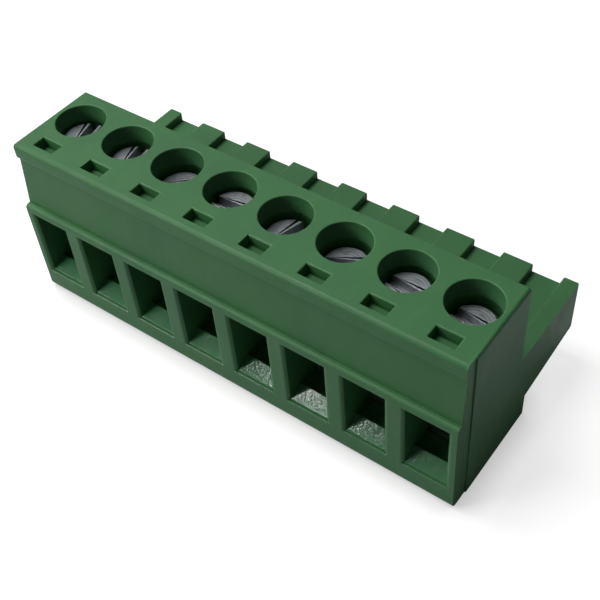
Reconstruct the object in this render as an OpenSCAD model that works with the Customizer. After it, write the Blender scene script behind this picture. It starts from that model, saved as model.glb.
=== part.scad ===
// Plug-in screw terminal block, 8 poles.
// One moulded housing: a screw tower with wire funnels in front and a
// plug nose behind it. Every pole holds a slotted clamp screw, a sleeve that
// the screw lifts, and a contact bar that runs through the sleeve into the
// nose, where its fork grips a header pin.
// X runs along the row, Y from the wire side (-) to the nose end (+), Z up.
// Origin: centre of the overall box in X and Y, on the base plane.
// Depths named "from the wire face" are counted from the lower front face.

/* [Row] */
// Distance from pole to pole
pitch = 5.08; // [4.8:0.02:6.4]
// Thickness of the shallow step at the front of both end faces
end_step = 0.1; // [0.05:0.05:0.3]
// Depth of that step from the wire face
end_step_d = 1.72; // [1.2:0.02:2.2]
// Rounding of the deck's end edges
end_r = 0.3; // [0.1:0.05:0.5]

/* [Housing] */
// Overall depth from the wire face to the end of the nose
body_d = 17.7; // [17.4:0.1:20]
// Height of the deck above the base
body_h = 15.2; // [14.9:0.1:17]
// Depth of the screw tower at the deck, from the wire face
tower_d = 8.66; // [8.5:0.02:9]
// Depth of the base that the block stands on, from the wire face
foot_d = 10.3; // [9.4:0.1:11]
// Rounding of the front bottom edge
foot_r = 0.6; // [0.2:0.1:1]
// Height of the ledge on top of the wire section
ledge_z = 9.42; // [9.2:0.02:9.7]
// Depth of the ledge: the upper front starts this far behind the wire face
ledge_d = 0.5; // [0.3:0.05:0.8]
// Rounding of the ledge's outer edge
ledge_r = 0.32; // [0.1:0.02:0.45]
// How far the upper front leans back between ledge and lip
band_lean = 0.4; // [0:0.05:0.6]
// How far the deck's front lip stands out from the upper front
lip_out = 0.22; // [0.1:0.02:0.35]
// Height of the lip below the deck
lip_h = 1.25; // [0.9:0.05:1.6]
// Rounding of the lip's top edge
lip_r = 0.42; // [0.2:0.02:0.6]

/* [Nose] */
// Height of the nose ribs' tops above the base
nose_top = 7.66; // [7.5:0.02:8.4]
// Height of the ribs
rib_h = 0.72; // [0.3:0.02:0.8]
// Width of a rib, centred between two poles
rib_w = 2.56; // [1.6:0.02:3.2]
// Height of the nose's underside where it leaves the foot
nose_under = 2.1; // [1.6:0.1:2.5]
// Rise of the underside towards the end of the nose
nose_rise = 0.75; // [0:0.05:1]
// Rounding of the nose's lower end edge
nose_r = 0.45; // [0.2:0.05:0.8]
// Rounding of the nose's upright corners
nose_corner_r = 0.12; // [0.1:0.02:0.6]
// Wall at the end of the nose
nose_wall = 0.9; // [0.6:0.1:1.4]
// Side of the square pin entries
pin_entry = 1.4; // [1.2:0.05:1.8]
// Lead-in chamfer of the pin entries
pin_lead = 0.35; // [0.1:0.05:0.4]

/* [Deck] */
// Radius of the screwdriver holes
driver_r = 2.0; // [1.9:0.05:2.1]
// Depth of the plain wall of a screwdriver hole
driver_wall = 1.65; // [1.4:0.05:1.8]
// Radial undercut below that wall
driver_undercut = 0.15; // [0.1:0.05:0.3]
// Distance of the screw axes from the wire face
screw_d = 5.73; // [5.7:0.01:5.9]
// Length of a deck pocket along the row
pocket_w = 1.95; // [1.2:0.05:2.4]
// Width of a deck pocket across the row
pocket_l = 1.05; // [0.6:0.05:1.2]
// Depth of a deck pocket
pocket_deep = 0.9; // [0.4:0.1:1.2]
// Distance of the pockets' middle from the wire face
pocket_d = 2.12; // [2:0.02:2.3]

/* [Wire entry] */
// Width of the wire funnels
entry_w = 3.45; // [3.3:0.05:3.6]
// Height of the ramp's front edge above the base
entry_z = 2.15; // [1.6:0.05:2.4]
// Height of the funnel's top edge above the base
entry_top = 8.7; // [8.6:0.05:8.9]
// Depth of the ramp
ramp_d = 1.5; // [1:0.1:2]
// Rise of the ramp
ramp_rise = 0.85; // [0.4:0.05:1]
// Bevel of the funnel's jambs
jamb_bevel = 0.22; // [0.1:0.02:0.4]

/* [Clamp] */
// Thickness of the floor below the sleeves
floor_t = 2.1; // [1.8:0.1:2.1]
// Side clearance of the sleeve in its chamber
sleeve_clear = 0.05; // [0.03:0.01:0.15]
// Depth of a sleeve along Y
sleeve_l = 4.4; // [4:0.1:4.5]
// Side wall of a sleeve
sleeve_wall = 0.35; // [0.3:0.01:0.45]
// Bottom wall of a sleeve
sleeve_bottom = 0.7; // [0.6:0.05:0.8]
// Height of a sleeve's window
window_h = 3.45; // [3.4:0.05:3.6]
// Top wall of a sleeve, which holds the thread
sleeve_top = 1.5; // [1.2:0.1:1.8]
// Bend radius of a sleeve's corners
sleeve_r = 0.4; // [0.1:0.05:0.5]
// Way that a sleeve rises from open to closed
travel = 2.5; // [2:0.1:2.55]

/* [Screw] */
// Radius of the clamp screw's thread
thread_r = 1.25; // [1:0.05:1.5]
// Chamfer of the screw's tip
tip_chamfer = 0.25; // [0.1:0.05:0.4]
// Radial clearance of the thread in sleeve and guide
thread_clear = 0.05; // [0.02:0.01:0.1]
// Radius of the screw head
head_r = 1.8; // [1.7:0.05:1.8]
// Height of the screw head
head_h = 1.3; // [1.1:0.05:1.4]
// Chamfer of the screw head
head_chamfer = 0.16; // [0.05:0.01:0.3]
// Width of the driver slot
slot_w = 0.8; // [0.6:0.05:1]
// Depth of the driver slot
slot_deep = 0.7; // [0.4:0.05:0.9]
// Depth of the lowest screw head below the deck
head_drop = 2.15; // [1.9:0.05:2.3]

/* [Contact] */
// Height of a contact bar's underside above the base
bar_z = 5.5; // [5.4:0.02:5.55]
// Thickness of a contact bar
bar_t = 0.8; // [0.6:0.05:0.8]
// Width of a contact bar's tongue
bar_w = 2.2; // [1.8:0.05:2.2]
// Distance of the tongue's tip from the wire face
bar_front = 3.0; // [2.6:0.1:3.4]
// Distance of the fork's root from the wire face
fork_root = 9.6; // [9.4:0.1:10.4]
// Gap between the fork's tips and the end wall of the nose
fork_end_gap = 0.3; // [0.2:0.05:0.8]
// Length of the fork's flared mouth
fork_mouth = 1.3; // [1:0.1:1.6]
// Length of the fork's straight root
fork_shoulder = 1.2; // [0.8:0.1:1.5]
// Outer width of the fork
fork_w = 2.3; // [2.2:0.02:2.34]
// Thickness of a fork blade
blade_t = 0.38; // [0.3:0.02:0.45]
// Gap of the fork where it grips the header pin
fork_grip = 1.0; // [0.8:0.05:1.2]
// How far the blades reach below the bar
blade_drop = 1.45; // [1.2:0.05:1.5]
// Height of the bar's underside above the header pin's axis
pin_drop = 0.6; // [0.5:0.05:0.7]
// Clearance of the contact in the nose
contact_clear = 0.05; // [0.03:0.01:0.08]

/* [Hidden] */

$fn = 48;
eps = 0.5;
poles = 8;
row_l = poles * pitch;
front = -body_d / 2;
screw_y = front + screw_d;

// how each screw happens to stand: its slot's angle and how far its head
// rises above the lowest one
slot_angle = [104, 100, 35, 3, 74, 24, -7, -12];
head_lift = [0.6, 0.4, 0.05, 0.45, 0.15, 0, 0.3, 0];

// sleeve chamber, open position of the sleeve
chamber_front = screw_d - sleeve_l / 2 - sleeve_clear;
chamber_back = screw_d + sleeve_l / 2 + sleeve_clear;
sleeve_w = entry_w - 2 * sleeve_clear;
window_w = sleeve_w - 2 * sleeve_wall;
window_top = bar_z + bar_t + contact_clear;
window_z = window_top - window_h;
sleeve_z = window_z - sleeve_bottom;
sleeve_h = sleeve_bottom + window_h + sleeve_top;
chamber_top = sleeve_z + sleeve_h + travel + 1.5 * sleeve_clear;

// screw: the lowest one stands just clear of the contact bar
head_z = body_h - head_drop;
tip_z = window_top;
shank_h = head_z - head_h - tip_z;
guide_top = head_z - head_h - 1.5 * sleeve_clear;

// nose cavity and pin axis
fork_z = bar_z - blade_drop;
pin_z = bar_z - pin_drop;
cavity_end = body_d - nose_wall;
fork_tip = cavity_end - fork_end_gap;

// x of a pole's middle, counted from 1
function pole_x(i) = (i - (poles + 1) / 2) * pitch;

// points of an arc about (cy, cz), angles in degrees
function arc(cy, cz, r, a0, a1, n = 6) =
    [for (k = [0 : n]) let (a = a0 + (a1 - a0) * k / n)
        [cy + r * cos(a), cz + r * sin(a)]];

// extrudes a (depth, height) outline along X, centred on x
module across(w, x = 0) {
    translate([x - w / 2, front, 0])
        rotate([90, 0, 90])
            linear_extrude(w) children();
}

// side view of the whole housing, wire face at depth 0
module side_outline() {
    band_top = body_h - lip_h;
    band_y = ledge_d + band_lean;
    lip_y = band_y - lip_out;
    polygon(concat(
        arc(foot_r, foot_r, foot_r, 270, 180),
        arc(ledge_r, ledge_z - ledge_r, ledge_r, 180, 90),
        [[ledge_d, ledge_z], [band_y, band_top - lip_out]],
        [[lip_y, band_top]],
        arc(lip_y + lip_r, body_h - lip_r, lip_r, 180, 90),
        [[tower_d, body_h], [tower_d, nose_top], [body_d, nose_top]],
        arc(body_d - nose_r, nose_under + nose_rise + nose_r, nose_r, 0, -90),
        [[foot_d, nose_under], [foot_d, 0]]));
}

// plan view with the nose's rounded upright corners
module plan_outline() {
    half = row_l / 2;
    back = front + body_d;
    polygon(concat(
        [[-half, front], [half, front]],
        arc(half - nose_corner_r, back - nose_corner_r, nose_corner_r, 0, 90),
        arc(-half + nose_corner_r, back - nose_corner_r, nose_corner_r, 90, 180)));
}

// front view with the deck's rounded end edges
module end_outline() {
    half = row_l / 2;
    translate([0, front + body_d + eps, 0])
        rotate([90, 0, 0])
            linear_extrude(body_d + 2 * eps)
                polygon(concat(
                    [[-half, -eps], [half, -eps]],
                    arc(half - end_r, body_h - end_r, end_r, 0, 90),
                    arc(-half + end_r, body_h - end_r, end_r, 90, 180)));
}

// wire funnel with its ramp, and the sleeve chamber behind it
module wire_chamber(x) {
    ramp_z = entry_z + ramp_rise;
    across(entry_w, x) polygon([
        [-eps, entry_z], [0, entry_z], [ramp_d, ramp_z],
        [ramp_d, floor_t], [chamber_back, floor_t],
        [chamber_back, chamber_top], [chamber_front, chamber_top],
        [chamber_front, entry_top], [-eps, entry_top]]);
    // bevelled jambs
    translate([x, front, entry_z])
        linear_extrude(entry_top - entry_z)
            polygon([[-entry_w / 2 - jamb_bevel, 0], [-entry_w / 2, jamb_bevel],
                [entry_w / 2, jamb_bevel], [entry_w / 2 + jamb_bevel, 0],
                [entry_w / 2 + jamb_bevel, -eps],
                [-entry_w / 2 - jamb_bevel, -eps]]);
}

// screwdriver hole, wider room for the head, and the thread's guide below it
module screw_well(x) {
    translate([x, screw_y, 0]) {
        translate([0, 0, body_h - driver_wall - 0.01])
            cylinder(r = driver_r, h = driver_wall + eps);
        translate([0, 0, guide_top])
            cylinder(r = driver_r + driver_undercut,
                h = body_h - driver_wall - guide_top);
        translate([0, 0, chamber_top - eps])
            cylinder(r = thread_r + thread_clear,
                h = guide_top - chamber_top + 2 * eps);
    }
}

// fork room in the nose and the square pin entry with its lead-in
module nose_cavity(x) {
    w = fork_w + 2 * contact_clear;
    across(w, x)
        polygon([[chamber_back - eps, fork_z - contact_clear],
            [cavity_end, fork_z - contact_clear],
            [cavity_end, window_top], [chamber_back - eps, window_top]]);
    across(pin_entry, x)
        polygon([[cavity_end - eps, pin_z - pin_entry / 2],
            [body_d + eps, pin_z - pin_entry / 2],
            [body_d + eps, pin_z + pin_entry / 2],
            [cavity_end - eps, pin_z + pin_entry / 2]]);
    big = pin_entry / 2 + pin_lead;
    intersection() {
        across(2 * big, x)
            polygon([[body_d - pin_lead, pin_z - pin_entry / 2],
                [body_d, pin_z - big], [body_d + eps, pin_z - big],
                [body_d + eps, pin_z + big], [body_d, pin_z + big],
                [body_d - pin_lead, pin_z + pin_entry / 2]]);
        translate([x, front + body_d, pin_z - big])
            linear_extrude(2 * big)
                polygon([[-pin_entry / 2, -pin_lead], [-big, 0], [-big, eps],
                    [big, eps], [big, 0], [pin_entry / 2, -pin_lead]]);
    }
}

// low places between the ribs on top of the nose
module rib_gap(x) {
    translate([x - (pitch - rib_w) / 2, front + tower_d, nose_top - rib_h])
        cube([pitch - rib_w, body_d - tower_d + eps, rib_h + eps]);
}

// blind pocket in the deck in front of a screwdriver hole
module deck_pocket(x) {
    translate([x - pocket_w / 2, front + pocket_d - pocket_l / 2,
            body_h - pocket_deep])
        cube([pocket_w, pocket_l, pocket_deep + eps]);
}

// shallow step at the front of an end face
module end_recess(side) {
    translate([side * row_l / 2 - end_step, front - eps, -eps])
        cube([2 * end_step, end_step_d + eps, body_h + 2 * eps]);
}

module housing() {
    color("#3f7a4a") difference() {
        intersection() {
            across(row_l) side_outline();
            translate([0, 0, -eps])
                linear_extrude(body_h + 2 * eps) plan_outline();
            end_outline();
        }
        for (i = [1 : poles]) {
            wire_chamber(pole_x(i));
            screw_well(pole_x(i));
            nose_cavity(pole_x(i));
            rib_gap(pole_x(i));
            deck_pocket(pole_x(i));
        }
        end_recess(-1);
        end_recess(1);
    }
}

// slotted screw, turned in place by a screwdriver
module clamp_screw(i) {
    color("#c4c8c4")
    translate([pole_x(i), screw_y, tip_z + head_lift[i - 1]])
        difference() {
            rotate_extrude() polygon([
                [0, 0], [thread_r - tip_chamfer, 0], [thread_r, tip_chamfer],
                [thread_r, shank_h], [head_r, shank_h],
                [head_r, shank_h + head_h - head_chamfer],
                [head_r - head_chamfer, shank_h + head_h],
                [0, shank_h + head_h]]);
            rotate([0, 0, slot_angle[i - 1]])
                translate([-head_r - eps, -slot_w / 2,
                        shank_h + head_h - slot_deep])
                    cube([2 * head_r + 2 * eps, slot_w, slot_deep + eps]);
        }
}

// bent sleeve: window for wire and contact bar, thread in its top
module clamp_sleeve(i) {
    color("#b9bcb4")
    translate([pole_x(i), screw_y, 0])
        difference() {
            translate([0, sleeve_l / 2, sleeve_z])
                rotate([90, 0, 0]) linear_extrude(sleeve_l)
                    polygon(concat(
                        arc(sleeve_w / 2 - sleeve_r, sleeve_r, sleeve_r, 270, 360, 4),
                        arc(sleeve_w / 2 - sleeve_r, sleeve_h - sleeve_r,
                            sleeve_r, 0, 90, 4),
                        arc(-sleeve_w / 2 + sleeve_r, sleeve_h - sleeve_r,
                            sleeve_r, 90, 180, 4),
                        arc(-sleeve_w / 2 + sleeve_r, sleeve_r, sleeve_r,
                            180, 270, 4)));
            translate([-window_w / 2, -sleeve_l / 2 - eps, window_z])
                cube([window_w, sleeve_l + 2 * eps, window_h]);
            // the thread's bore, open down into the window for the whole travel
            translate([0, 0, window_top - travel - eps])
                cylinder(r = thread_r + thread_clear,
                    h = sleeve_top + travel + 2 * eps);
        }
}

// plan view of one fork blade, which bends in to grip the pin
module blade_outline() {
    out = fork_w / 2;
    grip = fork_grip / 2;
    neck = fork_tip - fork_mouth;
    polygon([[out - blade_t, fork_root], [grip, neck], [out - blade_t, fork_tip],
        [out, fork_tip], [grip + blade_t, neck], [out, fork_root + fork_shoulder],
        [out, fork_root]]);
}

// contact bar: tongue under the screw, fork for the header pin
module contact_bar(i) {
    color("#c9b36a")
    translate([pole_x(i), front, 0]) {
        translate([-bar_w / 2, bar_front, bar_z])
            cube([bar_w, fork_root - bar_front, bar_t]);
        translate([-fork_w / 2, fork_root - bar_t, bar_z])
            cube([fork_w, bar_t + fork_shoulder, bar_t]);
        for (side = [0, 1])
            mirror([side, 0, 0])
                translate([0, 0, fork_z])
                    linear_extrude(blade_drop + bar_t) blade_outline();
    }
}

housing();
clamp_screw(1);  // clamp_screw_1
clamp_screw(2);  // clamp_screw_2
clamp_screw(3);  // clamp_screw_3
clamp_screw(4);  // clamp_screw_4
clamp_screw(5);  // clamp_screw_5
clamp_screw(6);  // clamp_screw_6
clamp_screw(7);  // clamp_screw_7
clamp_screw(8);  // clamp_screw_8
clamp_sleeve(1);  // clamp_sleeve_1
clamp_sleeve(2);  // clamp_sleeve_2
clamp_sleeve(3);  // clamp_sleeve_3
clamp_sleeve(4);  // clamp_sleeve_4
clamp_sleeve(5);  // clamp_sleeve_5
clamp_sleeve(6);  // clamp_sleeve_6
clamp_sleeve(7);  // clamp_sleeve_7
clamp_sleeve(8);  // clamp_sleeve_8
contact_bar(1);  // contact_bar_1
contact_bar(2);  // contact_bar_2
contact_bar(3);  // contact_bar_3
contact_bar(4);  // contact_bar_4
contact_bar(5);  // contact_bar_5
contact_bar(6);  // contact_bar_6
contact_bar(7);  // contact_bar_7
contact_bar(8);  // contact_bar_8
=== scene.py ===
"""Plug-in screw terminal block with eight poles: finishes, studio and camera.

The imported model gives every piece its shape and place. This script softens the
housing's moulded edges, cuts real threads on the clamp screws, and dresses each
piece in a procedural finish.
"""
import logging
import math
from dataclasses import dataclass, field
from enum import Enum
from typing import Any

import bmesh
import bpy
from mathutils import Matrix, Vector


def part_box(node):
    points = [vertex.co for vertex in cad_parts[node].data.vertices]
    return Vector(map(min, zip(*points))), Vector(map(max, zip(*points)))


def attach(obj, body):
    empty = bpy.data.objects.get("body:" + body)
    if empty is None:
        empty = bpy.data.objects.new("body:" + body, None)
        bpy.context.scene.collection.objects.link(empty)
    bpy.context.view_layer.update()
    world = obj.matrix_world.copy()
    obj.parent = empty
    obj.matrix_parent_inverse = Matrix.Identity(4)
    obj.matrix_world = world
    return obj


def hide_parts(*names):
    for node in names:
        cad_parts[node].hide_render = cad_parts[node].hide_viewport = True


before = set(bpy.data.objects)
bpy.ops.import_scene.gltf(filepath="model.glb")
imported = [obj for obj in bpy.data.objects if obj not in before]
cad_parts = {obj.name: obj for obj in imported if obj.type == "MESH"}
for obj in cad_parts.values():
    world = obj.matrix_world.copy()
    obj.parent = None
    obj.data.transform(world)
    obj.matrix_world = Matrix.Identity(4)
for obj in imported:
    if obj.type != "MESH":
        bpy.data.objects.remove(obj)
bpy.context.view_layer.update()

log = logging.getLogger("terminal_block")
MM = 0.001
# sockets of a Mix node, by number because its colour and number sockets share names
COLOUR_A = 6
COLOUR_B = 7
COLOUR_OUT = 2
NUMBER_A = 2
NUMBER_B = 3
NUMBER_OUT = 0


class Pole(Enum):
    """The eight clamping places, counted from the low end of X."""

    FIRST = 1
    SECOND = 2
    THIRD = 3
    FOURTH = 4
    FIFTH = 5
    SIXTH = 6
    SEVENTH = 7
    EIGHTH = 8


class Making(Enum):
    """How a metal surface got its fine marks."""

    TURNED = "turned"
    ROLLED = "rolled"


def linear(code: str, alpha: float = 1.0) -> tuple[float, float, float, float]:
    """Turn an sRGB hex colour into linear light.

    Args:
        code: Six hex digits with a leading hash.
        alpha: Opacity to append.

    Returns:
        The linear colour with its opacity.
    """
    def channel(start: int) -> float:
        """One channel of the colour, linear."""
        value = int(code[start:start + 2], 16) / 255
        return value / 12.92 if value <= 0.04045 else ((value + 0.055) / 1.055) ** 2.4

    return channel(1), channel(3), channel(5), alpha


def per_mm(size_mm: float) -> float:
    """Texture scale at which one feature measures size_mm on the part."""
    return 1.0 / (size_mm * MM)


def add_node(tree: bpy.types.NodeTree, kind: str, values: dict[Any, Any] | None = None,
             links: dict[Any, bpy.types.NodeSocket] | None = None, **props: Any) -> bpy.types.Node:
    """Add a node with its settings and links.

    Args:
        tree: Node tree that takes the node.
        kind: Node type, such as ShaderNodeBump.
        values: Socket name or index to its fixed value.
        links: Socket name or index to the output that feeds it.
        props: Plain properties of the node.

    Returns:
        The new node.
    """
    node = tree.nodes.new(kind)
    for name, value in props.items():
        setattr(node, name, value)
    for socket, value in (values or {}).items():
        node.inputs[socket].default_value = value
    for socket, source in (links or {}).items():
        tree.links.new(source, node.inputs[socket])
    return node


def backdrop_share(tree: bpy.types.NodeTree, in_gloss: float) -> bpy.types.NodeSocket:
    """How much of the backdrop's white a ray sees.

    Args:
        tree: Node tree that takes the nodes.
        in_gloss: Share that reflections and glass see, from 0 to 1.

    Returns:
        The output that is 1 for the camera and in_gloss for reflections.
    """
    path = add_node(tree, "ShaderNodeLightPath")
    gloss = add_node(tree, "ShaderNodeMath",
                     links={0: path.outputs["Is Glossy Ray"], 1: path.outputs["Is Transmission Ray"]},
                     operation="MAXIMUM")
    part = add_node(tree, "ShaderNodeMath", {1: in_gloss}, {0: gloss.outputs["Value"]},
                    operation="MULTIPLY")
    return add_node(tree, "ShaderNodeMath",
                    links={0: path.outputs["Is Camera Ray"], 1: part.outputs["Value"]},
                    operation="MAXIMUM").outputs["Value"]


def new_material(name: str) -> tuple[bpy.types.Material, bpy.types.NodeTree]:
    """Make an empty node material.

    Args:
        name: Name of the finish.

    Returns:
        The material and its cleared node tree.
    """
    material = bpy.data.materials.new(name)
    material.use_nodes = True
    material.node_tree.nodes.clear()
    return material, material.node_tree


@dataclass(frozen=True)
class MouldedPolyamide:
    """Glass-filled polyamide 66, injection moulded in a spark-eroded tool.

    To the eye it is a satin green with a soft sheen, faint cloudy flow marks and
    a grain so fine that it only breaks up the highlight.
    """

    name: str = "moulded_polyamide_green"
    body: str = "#3b7041"
    cloud: str = "#356740"
    flow: str = "#447846"
    dust: str = "#9fb3a0"
    roughness: float = 0.48
    ior: float = 1.53
    specular: float = 0.28
    cloud_mm: float = 5.0
    flow_mm: float = 1.6
    # flow marks run out along the way the melt went
    flow_stretch: tuple[float, float, float] = (1.0, 0.35, 0.3)
    # the real grain is about 0.02 mm: drawn coarser so that it shows
    grain_mm: float = 0.16
    grain_depth_mm: float = 0.006
    sink_mm: float = 3.2
    sink_depth_mm: float = 0.035
    speck_mm: float = 0.9
    dust_share: float = 0.35
    cloud_share: float = 0.8
    flow_share: float = 0.55
    # height of a polished insert's own edge; below zero where there is none
    insert_z_mm: float = -1.0
    insert_reach_mm: float = 0.3
    insert_roughness: float = 0.12

    def build(self) -> bpy.types.Material:
        """Make the material.

        Returns:
            The finished material.
        """
        material, tree = new_material(self.name)
        place = add_node(tree, "ShaderNodeTexCoord").outputs["Object"]
        clouds = add_node(tree, "ShaderNodeTexNoise", {"Scale": per_mm(self.cloud_mm), "Detail": 3.0,
                                                       "Roughness": 0.55}, {"Vector": place})
        drawn = add_node(tree, "ShaderNodeMapping", {"Scale": self.flow_stretch}, {"Vector": place})
        flow = add_node(tree, "ShaderNodeTexNoise", {"Scale": per_mm(self.flow_mm), "Detail": 5.0,
                                                     "Roughness": 0.6, "Distortion": 0.8},
                        {"Vector": drawn.outputs["Vector"]})
        grain = add_node(tree, "ShaderNodeTexNoise", {"Scale": per_mm(self.grain_mm), "Detail": 2.0},
                         {"Vector": place})
        specks = add_node(tree, "ShaderNodeTexVoronoi", {"Scale": per_mm(self.speck_mm), "Randomness": 1.0},
                          {"Vector": place})
        cloud_part = add_node(tree, "ShaderNodeMapRange",
                              {"From Min": 0.35, "From Max": 0.7, "To Min": 0.0, "To Max": self.cloud_share},
                              {"Value": clouds.outputs["Fac"]})
        tint = add_node(tree, "ShaderNodeMix", {COLOUR_A: linear(self.body), COLOUR_B: linear(self.cloud)},
                        {"Factor": cloud_part.outputs["Result"]}, data_type="RGBA")
        flow_part = add_node(tree, "ShaderNodeMapRange",
                             {"From Min": 0.52, "From Max": 0.75, "To Min": 0.0, "To Max": self.flow_share},
                             {"Value": flow.outputs["Fac"]})
        drift = add_node(tree, "ShaderNodeMix", {COLOUR_B: linear(self.flow)},
                         {"Factor": flow_part.outputs["Result"], COLOUR_A: tint.outputs[COLOUR_OUT]},
                         data_type="RGBA")
        # sparse dust lying on the part, each fleck about 0.1 mm
        fleck = add_node(tree, "ShaderNodeMapRange",
                         {"From Min": 0.05, "From Max": 0.02, "To Min": 0.0, "To Max": self.dust_share},
                         {"Value": specks.outputs["Distance"]})
        dusty = add_node(tree, "ShaderNodeMix", {COLOUR_B: linear(self.dust)},
                         {"Factor": fleck.outputs["Result"], COLOUR_A: drift.outputs[COLOUR_OUT]},
                         data_type="RGBA")
        gloss = add_node(tree, "ShaderNodeMapRange",
                         {"From Min": 0.3, "From Max": 0.7, "To Min": self.roughness - 0.06,
                          "To Max": self.roughness + 0.08}, {"Value": flow.outputs["Fac"]})
        height = add_node(tree, "ShaderNodeSeparateXYZ", links={"Vector": place})
        on_insert = add_node(tree, "ShaderNodeMath",
                             {1: self.insert_z_mm * MM, 2: self.insert_reach_mm * MM},
                             {0: height.outputs["Z"]}, operation="COMPARE")
        finish = add_node(tree, "ShaderNodeMix", {NUMBER_B: self.insert_roughness},
                          {"Factor": on_insert.outputs["Value"], NUMBER_A: gloss.outputs["Result"]},
                          data_type="FLOAT")
        sink = add_node(tree, "ShaderNodeTexNoise", {"Scale": per_mm(self.sink_mm), "Detail": 1.0},
                        {"Vector": place})
        wave = add_node(tree, "ShaderNodeBump", {"Strength": 0.5, "Distance": self.sink_depth_mm * MM},
                        {"Height": sink.outputs["Fac"]})
        bump = add_node(tree, "ShaderNodeBump", {"Strength": 0.6, "Distance": self.grain_depth_mm * MM},
                        {"Height": grain.outputs["Fac"], "Normal": wave.outputs["Normal"]})
        shell = add_node(tree, "ShaderNodeBsdfPrincipled",
                         {"IOR": self.ior, "Metallic": 0.0, "Specular IOR Level": self.specular},
                         {"Base Color": dusty.outputs[COLOUR_OUT],
                          "Roughness": finish.outputs[NUMBER_OUT], "Normal": bump.outputs["Normal"]})
        add_node(tree, "ShaderNodeOutputMaterial", links={"Surface": shell.outputs["BSDF"]})
        return material


@dataclass(frozen=True)
class PlatedMetal:
    """Metal with a thin bright plating over the marks of its making.

    To the eye it is grey and soft-bright, with fine rings or rolling lines and
    duller patches where the plating took unevenly.
    """

    name: str
    bright: str
    dull: str
    making: Making
    roughness: float = 0.34
    patch_mm: float = 0.8
    # real turning marks are about 0.03 mm apart: drawn wider so that they show
    line_mm: float = 0.14
    line_depth_mm: float = 0.006
    # rolling draws the marks out along Y
    rolled_stretch: tuple[float, float, float] = (1.0, 0.05, 1.0)

    def marks(self, tree: bpy.types.NodeTree, place: bpy.types.NodeSocket,
              block: "BlockSizes") -> bpy.types.NodeSocket:
        """Height of the making's fine marks.

        Args:
            tree: Node tree of the material.
            place: Object coordinates.
            block: Sizes that give the screw axes.

        Returns:
            The output that holds the height.
        """
        if self.making is Making.ROLLED:
            drawn = add_node(tree, "ShaderNodeMapping", {"Scale": self.rolled_stretch},
                             {"Vector": place})
            return add_node(tree, "ShaderNodeTexNoise",
                            {"Scale": per_mm(self.line_mm), "Detail": 3.0},
                            {"Vector": drawn.outputs["Vector"]}).outputs["Fac"]
        apart = add_node(tree, "ShaderNodeSeparateXYZ", links={"Vector": place})
        from_axis = add_node(tree, "ShaderNodeMath", {1: block.pitch * MM},
                             {0: apart.outputs["X"]}, operation="FLOORED_MODULO")
        across = add_node(tree, "ShaderNodeMath", {1: block.pitch * MM / 2},
                          {0: from_axis.outputs["Value"]}, operation="SUBTRACT")
        along = add_node(tree, "ShaderNodeMath", {1: block.screw_y * MM},
                         {0: apart.outputs["Y"]}, operation="SUBTRACT")
        flat = add_node(tree, "ShaderNodeCombineXYZ",
                        links={"X": across.outputs["Value"], "Y": along.outputs["Value"]})
        radius = add_node(tree, "ShaderNodeVectorMath", links={0: flat.outputs["Vector"]},
                          operation="LENGTH")
        turns = add_node(tree, "ShaderNodeMath", {1: math.tau * per_mm(self.line_mm)},
                         {0: radius.outputs["Value"]}, operation="MULTIPLY")
        return add_node(tree, "ShaderNodeMath", links={0: turns.outputs["Value"]},
                        operation="SINE").outputs["Value"]

    def build(self, block: "BlockSizes") -> bpy.types.Material:
        """Make the material.

        Args:
            block: Sizes that give the screw axes.

        Returns:
            The finished material.
        """
        material, tree = new_material(self.name)
        place = add_node(tree, "ShaderNodeTexCoord").outputs["Object"]
        patches = add_node(tree, "ShaderNodeTexNoise", {"Scale": per_mm(self.patch_mm), "Detail": 4.0},
                           {"Vector": place})
        tint = add_node(tree, "ShaderNodeMix", {COLOUR_A: linear(self.bright), COLOUR_B: linear(self.dull)},
                        {"Factor": patches.outputs["Fac"]}, data_type="RGBA")
        gloss = add_node(tree, "ShaderNodeMapRange",
                         {"From Min": 0.3, "From Max": 0.7, "To Min": self.roughness - 0.08,
                          "To Max": self.roughness + 0.12}, {"Value": patches.outputs["Fac"]})
        bump = add_node(tree, "ShaderNodeBump", {"Strength": 0.5, "Distance": self.line_depth_mm * MM},
                        {"Height": self.marks(tree, place, block)})
        metal = add_node(tree, "ShaderNodeBsdfPrincipled", {"Metallic": 1.0},
                         {"Base Color": tint.outputs[COLOUR_OUT], "Roughness": gloss.outputs["Result"],
                          "Normal": bump.outputs["Normal"]})
        add_node(tree, "ShaderNodeOutputMaterial", links={"Surface": metal.outputs["BSDF"]})
        return material


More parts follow.
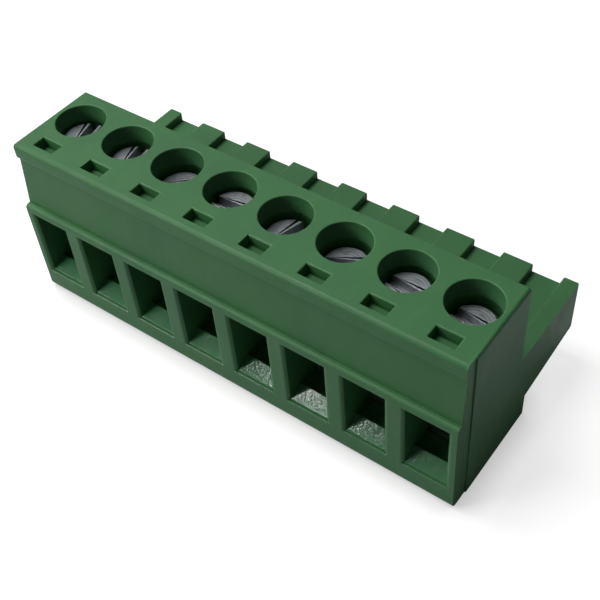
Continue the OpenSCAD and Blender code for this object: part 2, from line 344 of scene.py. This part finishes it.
@dataclass(frozen=True)
class BackdropPaper:
    """Matt white paper sheet, which the camera sees as plain white.

    The extra glow reaches only what looks at the paper, so the light on the part
    stays as it is. Near the block ambient occlusion dims the glow: a painted
    contact shadow on top of the paper's own shadow.
    """

    name: str = "backdrop_paper_matt"
    sheet: str = "#b4b4b3"
    mirrored: str = "#e4e8eb"
    shaded: str = "#808080"
    glow: float = 0.76
    in_gloss: float = 0.08
    # reach and darkest kept share of the painted contact shadow
    painted_shadow_mm: float = 2.6
    painted_shadow_share: float = 0.66

    def build(self) -> bpy.types.Material:
        """Make the material.

        Returns:
            The finished material.
        """
        material, tree = new_material(self.name)
        seen = backdrop_share(tree, self.in_gloss)
        direct = add_node(tree, "ShaderNodeLightPath").outputs["Is Camera Ray"]
        bounce = add_node(tree, "ShaderNodeMix",
                          {COLOUR_A: linear(self.shaded), COLOUR_B: linear(self.mirrored)},
                          {"Factor": backdrop_share(tree, 1.0)}, data_type="RGBA")
        tint = add_node(tree, "ShaderNodeMix", {COLOUR_B: linear(self.sheet)},
                        {"Factor": direct, COLOUR_A: bounce.outputs[COLOUR_OUT]}, data_type="RGBA")
        paper = add_node(tree, "ShaderNodeBsdfDiffuse", links={"Color": tint.outputs[COLOUR_OUT]})
        # painted contact shadow: ambient occlusion dims the paper's glow where the block stands on it
        painted_shadow_occlusion = add_node(tree, "ShaderNodeAmbientOcclusion", {"Distance": self.painted_shadow_mm * MM})
        glow_with_painted_shadow = add_node(tree, "ShaderNodeMapRange",
                             {"From Min": 0.5, "From Max": 0.97,
                              "To Min": self.glow * self.painted_shadow_share, "To Max": self.glow},
                             {"Value": painted_shadow_occlusion.outputs["AO"]})
        strength = add_node(tree, "ShaderNodeMath",
                            links={0: seen, 1: glow_with_painted_shadow.outputs["Result"]}, operation="MULTIPLY")
        glow = add_node(tree, "ShaderNodeEmission", {"Color": (1.0, 1.0, 1.0, 1.0)},
                        {"Strength": strength.outputs["Value"]})
        both = add_node(tree, "ShaderNodeAddShader",
                        links={0: paper.outputs["BSDF"], 1: glow.outputs["Emission"]})
        add_node(tree, "ShaderNodeOutputMaterial", links={"Surface": both.outputs["Shader"]})
        return material


@dataclass(frozen=True)
class BlockSizes:
    """Sizes of the block that the scene needs, in millimetres."""

    pitch: float = 5.08
    poles: int = 8
    screw_y: float = -3.12
    shank_top: float = 5.4
    middle_z: float = 7.0

    def pole_x(self, pole: Pole) -> float:
        """X of a pole's middle."""
        return (pole.value - (self.poles + 1) / 2) * self.pitch


def piece_from(name: str, source: bpy.types.Object) -> bpy.types.Object:
    """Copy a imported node's mesh into a new piece at the same place.

    Args:
        name: Name of the new piece.
        source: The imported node's object.

    Returns:
        The new object, linked to the scene.
    """
    piece = bpy.data.objects.new(name, source.data.copy())
    bpy.context.scene.collection.objects.link(piece)
    piece.data.materials.clear()
    return piece


def clean_flats(mesh: bpy.types.Mesh) -> None:
    """Merge doubled points and the triangles of each flat face.

    Args:
        mesh: Mesh to clean in place.
    """
    same_place = 1e-7
    same_plane = math.radians(0.5)
    work = bmesh.new()
    work.from_mesh(mesh)
    bmesh.ops.remove_doubles(work, verts=work.verts, dist=same_place)
    bmesh.ops.dissolve_limit(work, angle_limit=same_plane, verts=work.verts, edges=work.edges)
    work.to_mesh(mesh)
    work.free()


def room_beside(edge: bmesh.types.BMEdge) -> float:
    """How far a rounding may reach from an edge before it meets the next one.

    Args:
        edge: Edge that is to be rounded.

    Returns:
        The free distance in metres.
    """
    in_line = math.sin(math.radians(12))
    room = edge.calc_length()
    along = (edge.verts[1].co - edge.verts[0].co).normalized()
    for end in edge.verts:
        for near in end.link_edges:
            reach = near.calc_length()
            slant = along.cross(near.verts[1].co - near.verts[0].co).length
            room = min(room, reach if slant < in_line * reach else slant)
    return room


def settle_normals(piece: bpy.types.Object, bend: float) -> None:
    """Apply a piece's rounding and light each face by the faces that run on from it.

    A flat face stays flat up to its corners, and a rounding blends into it.

    Args:
        piece: Piece whose rounding is in place.
        bend: Largest angle, in radians, between two faces that run on.
    """
    rounded = piece.evaluated_get(bpy.context.evaluated_depsgraph_get())
    mesh = bpy.data.meshes.new_from_object(rounded)
    piece.modifiers.clear()
    piece.data = mesh
    least = math.cos(bend)
    faces = [(face.normal.copy(), face.area, tuple(face.vertices)) for face in mesh.polygons]
    around: list[list[int]] = [[] for _ in mesh.vertices]
    for number, (_, _, corners) in enumerate(faces):
        for corner in corners:
            around[corner].append(number)
    normals = []
    for facing, _, corners in faces:
        for corner in corners:
            total = Vector((0.0, 0.0, 0.0))
            for number in around[corner]:
                near, area, _ = faces[number]
                if near.dot(facing) > least:
                    total += near * area
            normals.append(total.normalized() if total.length > 0 else facing)
    mesh.normals_split_custom_set(normals)


def soften_edges(piece: bpy.types.Object, width_mm: float, steps: int, edge_slot: int) -> None:
    """Round a piece's outer edges the way its tool or wear leaves them.

    An edge beside a small step gets a narrower rounding, so none overlap. Inner
    edges, and those with no room at all, stay sharp.

    Args:
        piece: Piece whose edges are rounded.
        width_mm: Width of the rounding where there is room.
        steps: Segments across the rounding.
        edge_slot: Material slot that the rounding takes.
    """
    sharp_from = math.radians(32)
    # a little over sharp_from, so that no edge lies between the two rules
    run_on = math.radians(33)
    least_room = 0.1 * MM
    room_share = 0.35
    work = bmesh.new()
    work.from_mesh(piece.data)
    share = work.edges.layers.float.new("bevel_weight_edge")
    for edge in work.edges:
        if len(edge.link_faces) != 2 or edge.calc_face_angle() < sharp_from:
            continue
        room = room_beside(edge)
        if edge.is_convex and room > least_room:
            edge[share] = min(1.0, room_share * room / (width_mm * MM))
        else:
            edge.smooth = False
    for face in work.faces:
        face.smooth = True
    work.to_mesh(piece.data)
    work.free()
    bevel = piece.modifiers.new("edge_rounding", "BEVEL")
    bevel.width = width_mm * MM
    bevel.segments = steps
    bevel.limit_method = "WEIGHT"
    bevel.use_clamp_overlap = False
    bevel.material = edge_slot
    settle_normals(piece, run_on)


class HousingFinish(Enum):
    """Material slots of the housing, in order."""

    BODY = 0
    RIM_PAINTED_HIGHLIGHT = 1
    RAMP = 2


@dataclass
class Housing:
    """The one-piece moulding: tower, funnels, deck and ribbed nose."""

    edge_mm: float = 0.12
    steps: int = 3
    # a funnel's ramp is a low face that leans towards the front
    ramp_top_mm: float = 4.0
    ramp_front: float = 0.4
    ramp_lean: tuple[float, float] = (0.8, 0.95)
    finish: MouldedPolyamide = field(default_factory=MouldedPolyamide)
    # the rim material, which the edge roundings take, is a lighter copy of the body colour: a painted
    # highlight along the edges
    rim_painted_highlight: MouldedPolyamide = field(default_factory=lambda: MouldedPolyamide(
        name="moulded_polyamide_rim_painted_highlight", body="#447848", cloud="#3e7046", flow="#4c7f4e",
        roughness=0.46, insert_z_mm=2.15))
    # the ramps' low roughness is real polish; their lighter, bluer copy of the body colour is painted sheen
    # standing in for reflected light
    ramp: MouldedPolyamide = field(default_factory=lambda: MouldedPolyamide(
        name="moulded_polyamide_polished_painted_sheen", body="#3f784e", cloud="#397149", flow="#488054",
        roughness=0.12, specular=0.4, sink_depth_mm=0.01, grain_mm=0.22, grain_depth_mm=0.022))

    def is_ramp(self, face: bpy.types.MeshPolygon) -> bool:
        """Whether a face is the ramp of a funnel."""
        low, high = self.ramp_lean
        forward = face.normal.y < -self.ramp_front
        return forward and low < face.normal.z < high and face.center.z < self.ramp_top_mm * MM

    def build(self) -> bpy.types.Object:
        """Make the softened housing.

        Returns:
            The finished housing.
        """
        piece = piece_from("housing_moulding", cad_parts["housing"])
        clean_flats(piece.data)
        piece.data.materials.append(self.finish.build())
        piece.data.materials.append(self.rim_painted_highlight.build())
        piece.data.materials.append(self.ramp.build())
        for face in piece.data.polygons:
            if self.is_ramp(face):
                face.material_index = HousingFinish.RAMP.value
        # the roundings take the rim slot, whose lighter colour is a painted highlight
        soften_edges(piece, self.edge_mm, self.steps, HousingFinish.RIM_PAINTED_HIGHLIGHT.value)
        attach(piece, "block")
        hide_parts("housing")
        return piece


@dataclass
class ClampScrew:
    """One slotted screw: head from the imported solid, shank with a cut thread."""

    sizes: BlockSizes
    pole: Pole
    metal: bpy.types.Material
    thread_pitch: float = 0.45
    major_r: float = 1.25
    minor_r: float = 0.97
    tip_chamfer: float = 0.25
    flank_slope: float = 2.3
    crest_flat: float = 1.25
    corners: int = 28
    rings_per_pitch: int = 8
    edge_mm: float = 0.07
    edge_steps: int = 3
    # the head is cut off this far below the neck, so that the neck's face stays
    cut_below_mm: float = 0.001

    def shank_radius(self, height: float, angle: float) -> float:
        """Radius of the threaded shank.

        Args:
            height: Height above the tip, in millimetres.
            angle: Angle around the axis, in radians.

        Returns:
            The radius in millimetres.
        """
        phase = (height / self.thread_pitch - angle / math.tau) % 1.0
        crest = max(0.0, 1.0 - abs(phase - 0.5) * self.flank_slope)
        radius = self.minor_r + (self.major_r - self.minor_r) * min(1.0, crest * self.crest_flat)
        top = self.major_r - self.tip_chamfer + height
        return min(radius, top)

    def shank(self, base_z: float, top_z: float) -> bmesh.types.BMesh:
        """Build the threaded shank.

        Args:
            base_z: Height of the tip, in millimetres.
            top_z: Height of the head's underside, in millimetres.

        Returns:
            The shank's mesh data, in metres.
        """
        work = bmesh.new()
        rings: list[list[bmesh.types.BMVert]] = []
        count = max(2, round((top_z - base_z) / self.thread_pitch * self.rings_per_pitch))
        x, y = self.sizes.pole_x(self.pole), self.sizes.screw_y
        for step in range(count + 1):
            height = (top_z - base_z) * step / count
            ring = []
            for corner in range(self.corners):
                angle = math.tau * corner / self.corners
                radius = self.shank_radius(height, angle)
                ring.append(work.verts.new(Vector((x + radius * math.cos(angle),
                                                   y + radius * math.sin(angle),
                                                   base_z + height)) * MM))
            rings.append(ring)
        for low, high in zip(rings, rings[1:]):
            for corner in range(self.corners):
                after = (corner + 1) % self.corners
                work.faces.new((low[corner], low[after], high[after], high[corner])).smooth = True
        work.faces.new(tuple(reversed(rings[0])))
        work.faces.new(tuple(rings[-1]))
        return work

    def build(self) -> bpy.types.Object:
        """Make the screw.

        Returns:
            The finished screw.
        """
        name = f"clamp_screw_{self.pole.value}"
        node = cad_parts[name]
        low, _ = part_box(name)
        tip_z = low[2] / MM
        neck_z = tip_z + self.sizes.shank_top
        piece = piece_from(f"screw_dressed_{self.pole.value}", node)
        head = bmesh.new()
        head.from_mesh(piece.data)
        bmesh.ops.bisect_plane(head, geom=head.verts[:] + head.edges[:] + head.faces[:],
                               plane_co=(0.0, 0.0, (neck_z - self.cut_below_mm) * MM),
                               plane_no=(0.0, 0.0, 1.0),
                               clear_inner=True)
        head.to_mesh(piece.data)
        head.free()
        clean_flats(piece.data)
        shank = self.shank(tip_z, neck_z)
        shank_mesh = bpy.data.meshes.new(f"shank_{self.pole.value}")
        shank.to_mesh(shank_mesh)
        shank.free()
        thread = bpy.data.objects.new(f"screw_thread_{self.pole.value}", shank_mesh)
        bpy.context.scene.collection.objects.link(thread)
        for part in (piece, thread):
            part.data.materials.append(self.metal)
            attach(part, f"screw_{self.pole.value}")
        soften_edges(piece, self.edge_mm, self.edge_steps, 0)
        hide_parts(name)
        return piece


@dataclass
class ClampMetalwork:
    """Sleeves and contact bars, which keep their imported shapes."""

    sizes: BlockSizes
    sleeve: bpy.types.Material
    contact: bpy.types.Material

    def build(self) -> int:
        """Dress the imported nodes.

        Returns:
            How many nodes were dressed.
        """
        done = 0
        for pole in Pole:
            for name, metal in ((f"clamp_sleeve_{pole.value}", self.sleeve),
                                (f"contact_bar_{pole.value}", self.contact)):
                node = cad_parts[name]
                node.data.materials.clear()
                node.data.materials.append(metal)
                done += 1
        return done


@dataclass(frozen=True)
class Softbox:
    """A soft studio lamp that looks at the block."""

    name: str
    azimuth: float
    elevation: float
    distance: float
    width: float
    height: float
    power: float
    colour: str = "#ffffff"

    def build(self, target: Vector) -> bpy.types.Object:
        """Place the lamp.

        Args:
            target: Point that the lamp faces.

        Returns:
            The lamp.
        """
        data = bpy.data.lights.new(self.name, "AREA")
        data.shape = "RECTANGLE"
        data.size = self.width
        data.size_y = self.height
        data.energy = self.power
        data.color = linear(self.colour)[:3]
        lamp = bpy.data.objects.new(self.name, data)
        turn, lift = math.radians(self.azimuth), math.radians(self.elevation)
        away = Vector((math.sin(turn) * math.cos(lift), -math.cos(turn) * math.cos(lift),
                       math.sin(lift)))
        lamp.location = target + away * self.distance
        lamp.rotation_euler = away.to_track_quat("Z", "Y").to_euler()
        bpy.context.scene.collection.objects.link(lamp)
        return lamp


@dataclass
class Studio:
    """Floor, lamps and surroundings."""

    target: Vector
    floor_half: float = 1.5
    sky: str = "#f4f6f8"
    sky_strength: float = 0.05
    sky_in_gloss: float = 0.3
    lamps: tuple[Softbox, ...] = (
        Softbox("overhead_softbox", -85.0, 66.0, 0.5, 0.2, 0.26, 1.54),
        Softbox("front_softbox", -40.0, 29.0, 0.2, 0.08, 0.056, 0.16),
        Softbox("side_softbox", -108.0, 32.0, 0.5, 0.3, 0.2, 0.2),
        Softbox("rear_softbox", -141.0, 50.0, 0.5, 0.1, 0.1, 0.09),
        Softbox("glint_softbox", -39.6, 53.9, 0.42, 0.024, 0.024, 0.057),
    )

    def build_floor(self) -> None:
        """Lay the paper floor under the block."""
        half = self.floor_half
        mesh = bpy.data.meshes.new("paper_floor")
        mesh.from_pydata([(-half, -half, 0), (half, -half, 0), (half, half, 0), (-half, half, 0)],
                         [], [(0, 1, 2, 3)])
        floor = bpy.data.objects.new("paper_floor", mesh)
        mesh.materials.append(BackdropPaper().build())
        bpy.context.scene.collection.objects.link(floor)

    def build_sky(self) -> None:
        """Give the surroundings their soft light, seen as plain white."""
        world = bpy.data.worlds.new("studio_surroundings")
        bpy.context.scene.world = world
        world.use_nodes = True
        tree = world.node_tree
        tree.nodes.clear()
        soft = add_node(tree, "ShaderNodeBackground",
                        {"Color": linear(self.sky), "Strength": self.sky_strength})
        white = add_node(tree, "ShaderNodeBackground",
                         {"Color": (1.0, 1.0, 1.0, 1.0), "Strength": 1.0})
        mix = add_node(tree, "ShaderNodeMixShader",
                       links={0: backdrop_share(tree, self.sky_in_gloss), 1: soft.outputs["Background"],
                              2: white.outputs["Background"]})
        add_node(tree, "ShaderNodeOutputWorld", links={"Surface": mix.outputs["Shader"]})

    def build(self) -> None:
        """Set up the whole studio."""
        self.build_floor()
        self.build_sky()
        for lamp in self.lamps:
            lamp.build(self.target)


@dataclass(frozen=True)
class ViewCamera:
    """The camera at the view that the block is shown from."""

    place_mm: tuple[float, float, float] = (37.926, -43.793, 64.475)
    azimuth: float = 38.96
    elevation: float = 47.15
    roll: float = -4.45
    lens: float = 61.9
    sensor: float = 36.0
    shift: tuple[float, float] = (-0.033, -0.0052)
    # nearest distance that is drawn, in metres
    near: float = 0.005

    def build(self) -> bpy.types.Object:
        """Place the camera and make it the scene's own.

        Returns:
            The camera.
        """
        turn, lift, roll = (math.radians(v) for v in (self.azimuth, self.elevation, self.roll))
        back = Vector((math.sin(turn) * math.cos(lift), -math.cos(turn) * math.cos(lift),
                       math.sin(lift)))
        level = Vector((math.cos(turn), math.sin(turn), 0.0))
        upright = back.cross(level)
        right = level * math.cos(roll) + upright * math.sin(roll)
        up = back.cross(right)
        data = bpy.data.cameras.new("view_camera")
        data.sensor_width = self.sensor
        data.lens = self.lens
        data.shift_x, data.shift_y = self.shift
        data.clip_start = self.near
        camera = bpy.data.objects.new("view_camera", data)
        axes = Matrix((right, up, back)).transposed().to_4x4()
        camera.matrix_world = Matrix.Translation(Vector(self.place_mm) * MM) @ axes
        bpy.context.scene.collection.objects.link(camera)
        bpy.context.scene.camera = camera
        return camera


def main() -> None:
    """Build the block and its studio, piece by piece."""
    logging.basicConfig(level=logging.INFO, format="%(name)s: %(message)s")
    bpy.context.scene.view_settings.view_transform = "Standard"
    sizes = BlockSizes()
    ViewCamera().build()
    Studio(Vector((0.0, 0.0, sizes.middle_z)) * MM).build()
    log.info("moulded %s", Housing().build().name)
    zinc = PlatedMetal("zinc_plated_steel_turned", "#b4b8bd", "#888c91", Making.TURNED,
                       roughness=0.42, patch_mm=0.5, line_mm=0.26, line_depth_mm=0.0035).build(sizes)
    strip = PlatedMetal("zinc_plated_steel_strip", "#b9bcb6", "#969a93", Making.ROLLED,
                        roughness=0.4).build(sizes)
    tinned = PlatedMetal("tinned_bronze_strip", "#cbc6b4", "#aaa18a", Making.ROLLED,
                         roughness=0.36).build(sizes)
    for pole in Pole:
        log.info("turned %s", ClampScrew(sizes, pole, zinc).build().name)
    log.info("dressed %d sleeves and contact bars", ClampMetalwork(sizes, strip, tinned).build())


if __name__ == "__main__":
    main()
